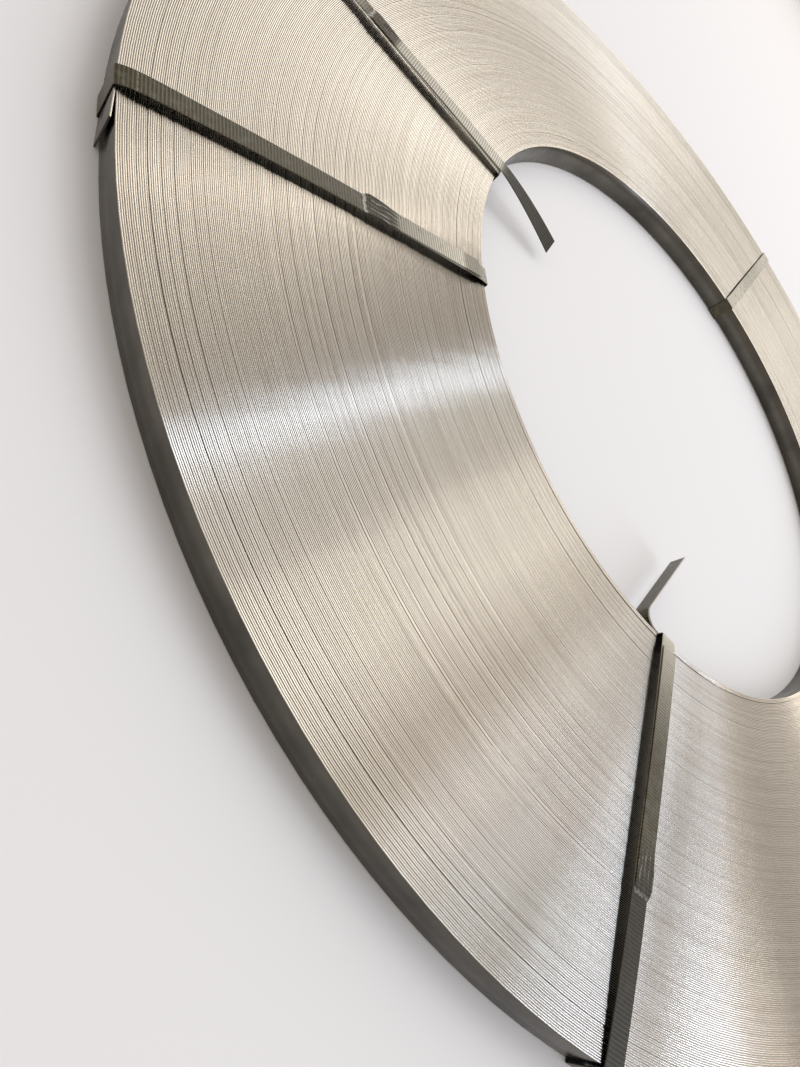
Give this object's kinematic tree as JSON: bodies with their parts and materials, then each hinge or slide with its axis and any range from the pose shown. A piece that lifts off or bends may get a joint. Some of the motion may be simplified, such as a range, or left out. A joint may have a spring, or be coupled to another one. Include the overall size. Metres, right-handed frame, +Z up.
{
  "type": "slit steel coil",
  "caption": "Flat coil of narrow slit steel strip with an open bore, tied round its section by plastic straps with welded laps and loose tails.",
  "frame": {"origin": "on the coil's axis, on the floor plane that the straps' bottom runs lie on", "axes": "+Z up along the coil's axis; the picture looks down from the -Y side, with the bore towards +Y"},
  "size_m": [0.9968, 0.9962, 0.0264],
  "materials": {
    "steel_strip": "slit edges in fine concentric turns, satin",
    "strap_plastic": "smoke-olive polyester band with a fine waffle emboss, semi-gloss"
  },
  "bodies": {
    "root": {"coil": "steel_strip", "strap_by_strip_end": "strap_plastic", "strap_with_long_tail": "strap_plastic", "strap_with_curled_tail": "strap_plastic", "strap_opposite": "strap_plastic", "strap_out_of_view": "strap_plastic"}
  },
  "joints": []
}
